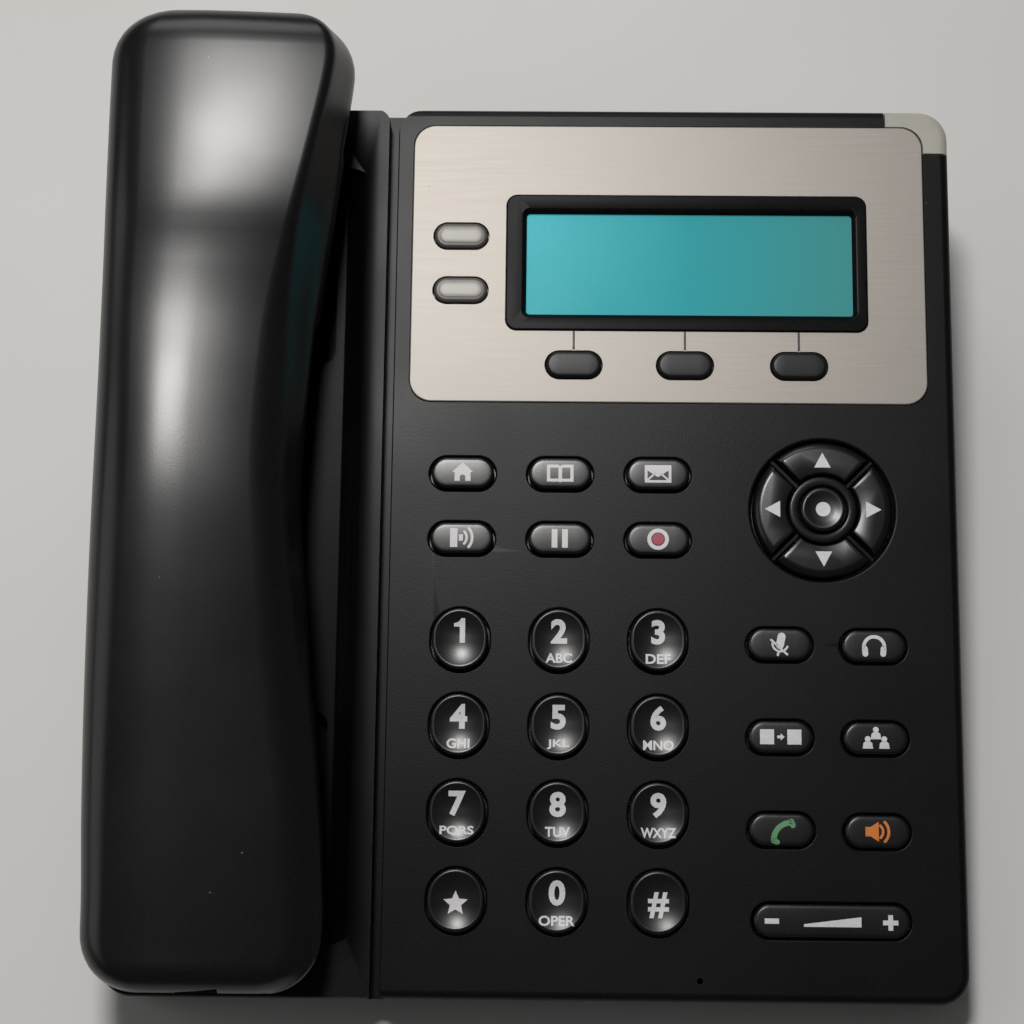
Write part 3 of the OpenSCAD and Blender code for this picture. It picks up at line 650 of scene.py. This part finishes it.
ICONS = {
    "home_key": [("icon", WHITE, [house()])],
    "phonebook_key": [("icon", WHITE, [book()])],
    "message_key": [("icon", WHITE, [
        [bar(-2.9, -1.95, 2.9, 1.95), [(-2.3, -1.4), (2.3, -1.4), (2.3, 0.75), (0, -0.75), (-2.3, 0.75)]],
        [stroke([(-2.2, -1.3), (-0.7, 0.0)], 0.4)], [stroke([(2.2, -1.3), (0.7, 0.0)], 0.4)]])],
    "intercom_key": [("icon", WHITE, [
        [bar(-2.5, -2.1, -0.9, 2.1)], [bar(-0.6, -0.7, 0.3, 0.7)],
        [stroke(bow(-0.9, 0, 2.0, -42, 42), 0.55)], [stroke(bow(-0.9, 0, 3.2, -40, 40), 0.6)]])],
    "hold_key": [("icon", WHITE, [[bar(-1.75, -2.05, -0.5, 2.05)], [bar(0.5, -2.05, 1.75, 2.05)]])],
    "record_key": [("icon", WHITE, [[disc(0, 0, 2.35), disc(0, 0, 1.5)]]),
                   ("dot", RED, [[disc(0, 0, 1.25)]])],
    "mute_key": [("icon", WHITE, [
        [turned(stroke([(0, -0.2), (0, 1.7)], 1.7), -12)],
        [turned(stroke(bow(0, 0.1, 1.65, 190, 350), 0.45), -12)],
        [turned(bar(-0.25, -2.6, 0.25, -1.5), -12)], [stroke([(-1.9, 0.9), (1.5, -2.2)], 0.45)]])],
    "headset_key": [("icon", WHITE, [
        [stroke(bow(0, -0.2, 2.2, -12, 192), 0.75)], [stroke([(-1.9, -1.7), (-2.0, -0.6)], 1.25)],
        [stroke([(1.9, -1.7), (2.0, -0.6)], 1.25)]])],
    "transfer_key": [("icon", WHITE, [
        [bar(-4.4, -1.6, -1.4, 1.6)], [bar(1.4, -1.6, 4.4, 1.6)], [bar(-0.75, -0.3, 0.1, 0.3)],
        [[(0.0, -0.75), (0.85, 0), (0.0, 0.75)]]])],
    "conference_key": [("icon", WHITE, [*figure(0, 0.9), *figure(-1.75, -1.1), *figure(1.75, -1.1)])],
    "send_key": [("icon", GREEN, [
        [stroke(bow(2.0, -2.2, 3.7, 88, 182), 1.15)], [stroke([(2.05, 1.75), (2.35, 0.95)], 1.15)],
        [stroke([(-1.75, -2.3), (-1.0, -2.6)], 1.15)]])],
    "speaker_key": [("icon", ORANGE, [
        [[(-2.6, -1.0), (-1.5, -1.0), (0.2, -2.1), (0.2, 2.1), (-1.5, 1.0), (-2.6, 1.0)]],
        [stroke(bow(-0.6, 0, 1.7, -48, 48), 0.55)], [stroke(bow(-0.6, 0, 2.9, -44, 44), 0.6)]])],
}


def pill_keys():
    for node, prints in ICONS.items():
        key = Key(node, *PILL_SIZE, pill_profile(PILL_SIZE[1] / 2, 1.3), KEY)
        for mark, mat, shapes in prints:
            key.print(mark, plate(*shapes), mat, 0, 0)
    for node in ("soft_key_1", "soft_key_2", "soft_key_3"):
        Key(node, *SOFT_SIZE, pill_profile(SOFT_SIZE[1] / 2, 1.2), SOFT, "soft_key_grey")
    for node in ("line_key_1", "line_key_2"):
        key = Key(node, *LINE_SIZE, pill_profile(LINE_SIZE[1] / 2, 1.0), LINE, "line_key_clear")
        bm = bmesh.new()
        light = ((0.4, 0.7), (0, 0.85), (0, 1.0), (0.12, 1.14), (0.35, 1.2), (1.0, 1.22), (1.9, 1.23))
        loft(bm, [stadium(key.at, *LINE_LIGHT_SIZE, inset, w) for inset, w in light])
        new_piece(node + "_light", bm, CLEAR, node)
    profile = [(0, -2.5)] * len(FLANGE) + pill_profile(ROCKER_SIZE[1] / 2, 1.3)[len(FLANGE):]
    key = Key("volume_rocker", *ROCKER_SIZE, profile, KEY)
    key.print("minus", plate([bar(-1.5, -0.55, 1.5, 0.55)]), WHITE, -12.6, -0.1)
    key.print("wedge", plate([[(-6, -0.9), (6, -0.9), (6, 1.2), (-6, -0.35)]]), WHITE, 0.1, -0.3)
    cross = [(-1.6, -0.5), (-0.5, -0.5), (-0.5, -1.6), (0.5, -1.6), (0.5, -0.5), (1.6, -0.5), (1.6, 0.5),
             (0.5, 0.5), (0.5, 1.6), (-0.5, 1.6), (-0.5, 0.5), (-1.6, 0.5)]
    key.print("plus", plate([cross]), WHITE, 12.2, -0.2)


# ---- navigation keys ----

NAV = centre("ok_key")
NAV_AT = (NAV.x, NAV.y)


def sector(turn, w, outer, side, inner, n=22):
    """Ring round a quarter of the navigation ring, with its outer, side and inner edges drawn in."""
    r1, r0, gap = NAV_R[1] - outer, NAV_R[0] + inner, NAV_GAP + side
    ring = []
    for r, order in ((r1, 1), (r0, -1)):
        reach = math.pi / 4 - math.asin(gap / r)
        for i in range(n + 1):
            a = turn + order * (2 * i / n - 1) * reach
            ring.append(Vector((NAV_AT[0] + r * math.cos(a), NAV_AT[1] + r * math.sin(a), w)))
    return ring


def nav_keys():
    rows = [(-3.4, -0.5, 0.4, -0.4), (-2.6, -0.5, 0.4, -0.4), (-2.5, 0, 0, 0), (-1.2, 0, 0, 0)]
    for i in range(1, 8):
        a = math.pi / 2 * i / 7
        drawn = 1 - math.cos(a)
        rows.append((-1.2 + 2.1 * math.sin(a), 2.0 * drawn, 0.5 * drawn, 0.6 * drawn))
    for k, node in enumerate(("nav_right", "nav_up", "nav_left", "nav_down")):
        turn = math.pi / 2 * k
        bm = bmesh.new()
        loft(bm, [sector(turn, *row) for row in rows])
        new_piece(node + "_cap", bm, KEY, node, [node])
        arrow = turned([(-1.6, -1.8), (1.75, 0), (-1.6, 1.8)], 90 * k,
                       ARROW_R * math.cos(turn), ARROW_R * math.sin(turn))
        mesh = plate([arrow])
        for v in mesh.vertices:
            v.co += Vector((*NAV_AT, ARROW_W + PRINT * 0.5))
        piece_of(node + "_arrow", mesh, WHITE, node, smooth=0)
    profile = [(-1, -3.5), (-1, -2.6), (0, -2.6)] + arc(0.7, 0.7, 0, 0.7)
    profile += [(1.0, 1.36), (1.6, 1.2), (2.6, 1.05), (4, 0.97), (4.9, 0.95)]
    ok = Key("ok_key", *OK_SIZE, profile, KEY)
    ok.print("dot", plate([disc(0, 0, 1.6)]), WHITE)


def nav_ring():
    """Fixed ring between the keys, and the crossed bars it stands on."""
    bm = bmesh.new()
    r0, r1 = RING_R
    profile = [(r0, -2.5), (r1, -2.5), (r1, 0.1)]
    profile += [(r1 - 0.5 + 0.5 * math.cos(a), 0.1 + 0.5 * math.sin(a)) for a in (0.4, 0.8, 1.2, 1.57)]
    profile += [(r0 + 0.5 - 0.5 * math.sin(a), 0.1 + 0.5 * math.cos(a)) for a in (0, 0.4, 0.8, 1.2, 1.57)]
    rings = [[Vector((x, y, w)) for x, y in disc(*NAV_AT, r, 72)] for r, w in profile]
    loft(bm, rings + rings[:1], caps=False)
    bar_profile = ((-0.5, -2.5), (0.5, -2.5), (0.5, -1.2), (0.3, -1.0), (-0.3, -1.0), (-0.5, -1.2))
    for k in range(4):
        a = math.pi / 4 + math.pi / 2 * k
        along, side = Vector((math.cos(a), math.sin(a), 0)), Vector((-math.sin(a), math.cos(a), 0))
        start = Vector((*NAV_AT, 0))
        loft(bm, [[start + along * r + side * s + Vector((0, 0, w)) for s, w in bar_profile]
                  for r in (r1 - 0.2, NAV_R[1] + 0.2)])
    new_piece("nav_ring", bm, GLOSS, HOUSING, ["nav_bezel"])


# ---- handset ----

# The handset's outline in rows along v: left side, right side, right crest, underside, top
HANDSET_SPOTS = [
    (-75.2, -98.2, -46.9, -50.4, 0.6, 21.6), (-58, -98.2, -47.1, -50.8, 0.6, 22.2),
    (-40, -98.9, -48.1, -52.2, 0.6, 23.2), (-18, -99.4, -50, -54.8, 3, 24.6),
    (8, -99.6, -52.5, -57.4, 7, 26.2), (27, -99.6, -54.3, -59, 7, 27.1),
    (45, -99.6, -53.5, -59.6, 6.5, 26.85), (66, -99.7, -51.8, -59.6, 4, 26.0),
    (80, -99.7, -50.2, -58, 2.6, 26.5), (90, -99.7, -48.8, -56.2, 2, 27.5),
    (107, -99.7, -47, -52.5, 2, 28.2), (121, -99.7, -45.2, -49.9, 2.4, 28.2),
    (135.7, -99.7, -44.4, -49, 2.6, 27.8)
]
CROWN_U = -86         # line of the grip's highest points, which the back falls away from
CROWN_SHIFT = 5       # how far that line moves right towards the ear end
CROWN_R = 9           # how soon the fall turns from a curve into a straight slope
POD_W = -11.2         # underside of the two pods
PODS = [(-63.6, -60, -17.6, -12.4), (64.4, 69.6, 103.2, 106.6)]      # start, full, full, end of each along v
HANDSET_ENDS = (HANDSET_SPOTS[0][0], HANDSET_SPOTS[-1][0])
SIDE_W = 11           # height at which the handset is widest
SEAM_W = 8            # where its two shells meet


def smooth_at(v, column):
    """Smooth curve through one column of the handset's table."""
    rows = HANDSET_SPOTS
    for i in range(len(rows) - 1):
        if v <= rows[i + 1][0] or i == len(rows) - 2:
            break

    def slope(k):
        a, b = rows[max(k - 1, 0)], rows[min(k + 1, len(rows) - 1)]
        return (b[column] - a[column]) / (b[0] - a[0])

    a, b = rows[i], rows[i + 1]
    span = b[0] - a[0]
    t = min(max((v - a[0]) / span, 0), 1)
    h = (2 * t ** 3 - 3 * t ** 2 + 1, t ** 3 - 2 * t ** 2 + t, -2 * t ** 3 + 3 * t ** 2, t ** 3 - t ** 2)
    return h[0] * a[column] + h[1] * span * slope(i) + h[2] * b[column] + h[3] * span * slope(i + 1)


def rise(v, a, b):
    """Smooth step from 0 at a to 1 at b."""
    t = min(max((v - a) / (b - a), 0), 1)
    return t * t * (3 - 2 * t)


def drawn_in(d, r):
    """How far a rounded end is drawn in at a distance d from its tip."""
    x = min(max(1 - d / r, 0), 1)
    return r * (1 - math.sqrt(max(1 - x * x, 0)))


def rounded(points, radii, turn=6, run=3):
    """Closed ring through a polygon with rounded corners and a few points along each side."""
    n = len(points)
    corners = []
    for i in range(n):
        p, a, b = points[i], points[i - 1] - points[i], points[(i + 1) % n] - points[i]
        reach = min(radii[i], 0.49 * a.length, 0.49 * b.length)
        start, end = p + a.normalized() * reach, p + b.normalized() * reach
        corners.append([start * (1 - t) ** 2 + p * 2 * t * (1 - t) + end * t * t
                        for t in [k / turn for k in range(turn + 1)]])
    ring = []
    for i, corner in enumerate(corners):
        after = corners[(i + 1) % n][0]
        ring += corner
        ring += [corner[-1].lerp(after, k / (run + 1)) for k in range(1, run + 1)]
    return ring


def handset_ring(v):
    left, right, crest, under, top = (smooth_at(v, c) for c in range(1, 6))
    for a, b, c, d in PODS:
        under += (POD_W - under) * rise(v, a, b) * (1 - rise(v, c, d))
    tail, head = v - HANDSET_ENDS[0], HANDSET_ENDS[1] - v
    side = drawn_in(tail, 12) + drawn_in(head, 13)
    left, right, crest = left + side, right - side, crest - side * 0.9
    top -= drawn_in(tail, 5) + drawn_in(head, 9)
    under += drawn_in(tail, 8) + drawn_in(head, 10.5)
    middle = max(min(SIDE_W, top - 4), under + 3)
    narrow = min(1.0, (top - under) / 12)
    points = [Vector(p) for p in (
        (left, middle), (left + 1.8 * narrow, top), (crest, top), (right, middle),
        (right - 8 * narrow, under), (left + 9 * narrow, under))]
    ring = rounded(points, [5, 8, 6 - 4 * rise(v, 30, 100), 5.5, 4.5, 5])
    bend = 2.03 - 1.13 * rise(v, 50, 100)
    crown = CROWN_U + CROWN_SHIFT * rise(v, 60, 110)
    out = []
    for p in ring:
        fall = bend * (math.hypot(1, (p.x - crown) / CROWN_R) - 1)
        out.append(Vector((p.x, v, p.y - fall * rise(p.y, middle, top))))
    return out


def handset_stations():
    """Places along v of the handset's rings, closer at its ends and where the pods begin and end."""
    lo, hi = HANDSET_ENDS
    ends = [0, 0.15, 0.5, 1, 1.7, 2.6, 3.7, 5, 6.5, 8.3, 10.3, 12.6]
    stations = [lo + e for e in ends] + [hi - e for e in ends]
    v = lo + 14
    while v < hi - 13.5:
        stations.append(v)
        near = min(abs(v - x) for pod in PODS for x in pod)
        v += 1.0 if near < 5 else 3.0
    return sorted(stations)


def groove(bm):
    """V groove round the handset where its two shells meet."""
    for w in (SEAM_W - 0.3, SEAM_W, SEAM_W + 0.3):
        slice_by(bm, (0, 0, w), (0, 0, 1), dist=0.0005)
    bm.normal_update()
    for v in [v for v in bm.verts if abs(v.co.z - SEAM_W) < 0.001]:
        v.co -= Vector((v.normal.x, v.normal.y, 0)).normalized() * 0.4


def half(bm, upper):
    """The part of the handset above or below the seam, closed there."""
    part = bm.copy()
    slice_by(part, (0, 0, SEAM_W), (0, 0, 1), dist=0.0005, clear_inner=upper, clear_outer=not upper)
    bmesh.ops.holes_fill(part, edges=[e for e in part.edges if e.is_boundary])
    return part


def cut(obj, cutter_bm):
    """Cuts the shapes drawn in cutter_bm out of a piece."""
    mesh = bpy.data.meshes.new("cutter")
    bmesh.ops.recalc_face_normals(cutter_bm, faces=cutter_bm.faces)
    cutter_bm.to_mesh(mesh)
    cutter_bm.free()
    mesh.transform(FACE)
    cutter = bpy.data.objects.new("cutter", mesh)
    scene.collection.objects.link(cutter)
    modifier = obj.modifiers.new("cut", "BOOLEAN")
    modifier.operation, modifier.object, modifier.solver = "DIFFERENCE", cutter, "EXACT"
    bpy.context.view_layer.update()
    shape = bpy.data.meshes.new_from_object(obj.evaluated_get(bpy.context.evaluated_depsgraph_get()))
    obj.modifiers.clear()
    shape.name = obj.data.name
    obj.data = shape
    shape.shade_smooth()
    shape.set_sharp_from_angle(angle=math.radians(40))
    bpy.data.objects.remove(cutter)


def tube(bm, x, y, r, w0, w1, n=18, stretch=1.0):
    """Round bar along w, longer along v by the factor stretch."""
    circle = disc(0, 0, r, n)
    loft(bm, [[Vector((x + px, y + py * stretch, w)) for px, py in circle] for w in (w0, w1)])


def handset():
    bm = bmesh.new()
    loft(bm, [handset_ring(v) for v in handset_stations()])
    bmesh.ops.recalc_face_normals(bm, faces=bm.faces)
    groove(bm)
    top = new_piece("handset_back", half(bm, True), SHELL, HANDSET,
                    ["handset_top_shell"], 50)
    low = new_piece("handset_front", half(bm, False), SHELL, HANDSET,
                    ["handset_bottom_shell"], 50)
    bm.free()
    holes = bmesh.new()
    ear, mouth = centre("handset_receiver"), centre("handset_microphone")
    tube(holes, ear.x, ear.y, 1, -13, -9)
    for n in (6, 12):
        for i in range(n):
            a = 2 * math.pi * i / n
            tube(holes, ear.x + n * 0.75 * math.cos(a), ear.y + n * 0.75 * math.sin(a), 1, -13, -9)
    for s in (-3, 0, 3):
        tube(holes, mouth.x + s, mouth.y, 0.7, -13, -9.2, stretch=3.5)
    cut(low, holes)
    jack = centre("handset_jack")
    box = bmesh.new()
    loft(box, [[Vector((jack.x + x, v, w)) for x, w in ((-4.3, 10), (4.3, 10), (4.3, 17.1), (-4.3, 17.1))]
               for v in (-80, -62)])
    cut(top, box)


# ---- CAD nodes that keep their shape ----

def edge_shading(obj, angle):
    """Joins split corners, clears flat faces of needless edges, and shades smoothly up to the angle."""
    weld = obj.modifiers.new("weld", "WELD")
    weld.merge_threshold = 0.000004
    flat = obj.modifiers.new("flat", "DECIMATE")
    flat.decimate_type = "DISSOLVE"
    flat.angle_limit = math.radians(0.8)
    split = obj.modifiers.new("split", "EDGE_SPLIT")
    split.split_angle = math.radians(angle)
    weight = obj.modifiers.new("weight", "WEIGHTED_NORMAL")
    weight.weight = 60


CAD_LOOKS = {
    "upper_housing": CASE, "lower_housing": BASE, "display_fascia": SILVER, "lcd_bezel": BEZEL,
    "lcd_window": GLASS, "lcd_module": PANEL, "message_lamp": LAMP, "keypad_mat": RUBBER,
    "keypad_board": BOARD, "main_board": BOARD, "loudspeaker": INNER, "network_jacks": TIN,
    "power_jack": INNER, "side_jacks": INNER, "cradle_tab": CASE, "rubber_feet": FOOT, "screws": STEEL,
    "hook_microswitch": INNER, "hook_plunger": CASE, "handset_receiver": INNER,
    "handset_microphone": INNER, "handset_jack": INNER
}


def cad_nodes():
    for node, mat in CAD_LOOKS.items():
        obj = frame["nodes"][node]
        obj.data.materials.clear()
        obj.data.materials.append(mat)
        for polygon in obj.data.polygons:
            polygon.use_smooth = True
        edge_shading(obj, 52)


def leader_lines():
    low = face_box("lcd_bezel")[0]
    bm = bmesh.new()
    for node in ("soft_key_1", "soft_key_2", "soft_key_3"):
        at = centre(node)
        outline = bar(at.x - 0.25, at.y + 3.7, at.x + 0.25, low.y - 0.1)
        loft(bm, [[Vector((x, y, w)) for x, y in outline] for w in (0.02, 0.24)])
    new_piece("leader_lines", bm, DARK, HOUSING)


# ---- stage ----

# The camera and the lights are placed in the face frame
CAMERA_AT = (-1.0, -73.5, 490.7)
CAMERA_TURNS = (("X", -11.71), ("Y", 1.08), ("Z", 0.48))
CAMERA_LENS = 80.86


def floor():
    bm = bmesh.new()
    bmesh.ops.create_grid(bm, x_segments=1, y_segments=1, size=4)
    mesh = bpy.data.meshes.new("floor")
    bm.to_mesh(mesh)
    bm.free()
    p = Paint("floor_pale")
    p.set(Base_Color=p.mix(p.ramp(p.noise(9, 3), 0.3, 0.7), srgb(214, 213, 210), srgb(220, 219, 217)),
          Roughness=0.6)
    mesh.materials.append(p.mat)
    obj = bpy.data.objects.new("floor", mesh)
    scene.collection.objects.link(obj)


def lamp(name, place, target, size, power, colour=(1, 1, 1)):
    """Area light from a place towards a target, both in the face frame."""
    data = bpy.data.lights.new(name, "AREA")
    data.shape = "DISK"
    data.size = size
    data.energy = power
    data.color = colour
    obj = bpy.data.objects.new(name, data)
    scene.collection.objects.link(obj)
    start, end = FACE @ Vector(place), FACE @ Vector(target)
    obj.matrix_world = Matrix.Translation(start) @ (end - start).to_track_quat("-Z", "Y").to_matrix().to_4x4()


def stage():
    floor()
    world = bpy.data.worlds.new("studio")
    world.use_nodes = True
    world.node_tree.nodes["Background"].inputs[0].default_value = (1, 1, 1, 1)
    world.node_tree.nodes["Background"].inputs[1].default_value = 0.07
    scene.world = world
    lamp("key_light", (-100, 350, 790), (-20, 30, 0), 0.17, 4.3, (1, 0.985, 0.965))
    lamp("fill_light", (-900, 50, 420), (-60, 30, 0), 0.7, 1.0)
    lamp("back_light", (-150, 850, 420), (0, 60, 0), 0.5, 1.5)


def camera():
    """The photograph's view: from above the middle of the face, a little below it."""
    rows = Matrix.Diagonal((1, -1, -1))
    for axis, degrees in CAMERA_TURNS:
        rows = Matrix.Rotation(math.radians(degrees), 3, axis) @ rows
    axes = Matrix((rows[0], -Vector(rows[1]), -Vector(rows[2]))).transposed()
    data = bpy.data.cameras.new("camera")
    data.sensor_width = 36
    data.lens = CAMERA_LENS
    data.clip_start = 0.01
    data.clip_end = 20
    cam = bpy.data.objects.new("camera", data)
    scene.collection.objects.link(cam)
    cam.matrix_world = Matrix.Translation(FACE @ Vector(CAMERA_AT)) @ (TURN @ axes).to_4x4()
    scene.camera = cam


camera()
stage()
cad_nodes()
leader_lines()
dial_keys()
pill_keys()
nav_keys()
nav_ring()
handset()
